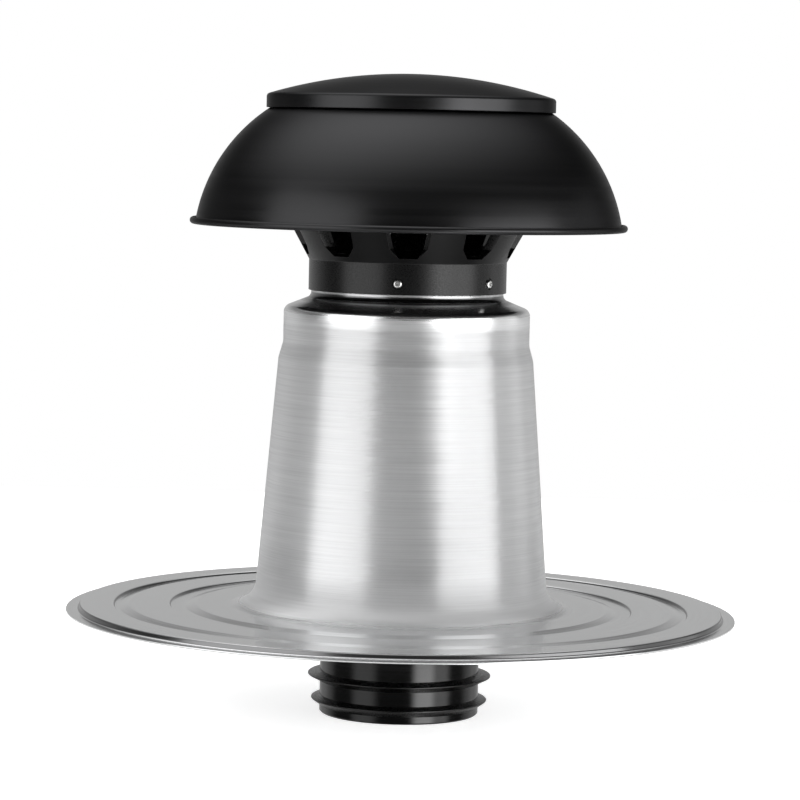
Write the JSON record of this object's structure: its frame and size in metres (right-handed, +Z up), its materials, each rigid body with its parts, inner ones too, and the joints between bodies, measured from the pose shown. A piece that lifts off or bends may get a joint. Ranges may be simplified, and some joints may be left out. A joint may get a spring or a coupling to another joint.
{
  "type": "double-wall ventilation chimney",
  "caption": "Roof ventilation chimney: a spun aluminium shell with a wide flange round an inner duct with lip seals, and a windowed cowl under a black domed hood.",
  "frame": {"origin": "on the duct's axis, at the underside of the flange's brim", "axes": "+Z up along the duct, -Y to the front, where the picture is taken from, +X to the right"},
  "size_m": [0.5219, 0.522, 0.4986],
  "materials": {
    "shell_aluminium": "bright spun, brushed round the axis",
    "duct_plastic": "smooth black",
    "seal_rubber": "moulded black",
    "spacer_plastic": "moulded black",
    "cowl_plastic": "satin black",
    "hood_coated": "semi-gloss black coating",
    "screw_steel": "bright zinc"
  },
  "bodies": {
    "root": {"flashing_shell": "shell_aluminium", "inner_pipe": "duct_plastic", "upper_lip_seal": "seal_rubber", "lower_lip_seal": "seal_rubber", "spacer_ring": "spacer_plastic", "cowl_collar": "cowl_plastic", "hood_dome": "hood_coated", "hood_lid": "hood_coated", "collar_screws": "screw_steel", "hood_screws": "screw_steel"}
  },
  "joints": []
}
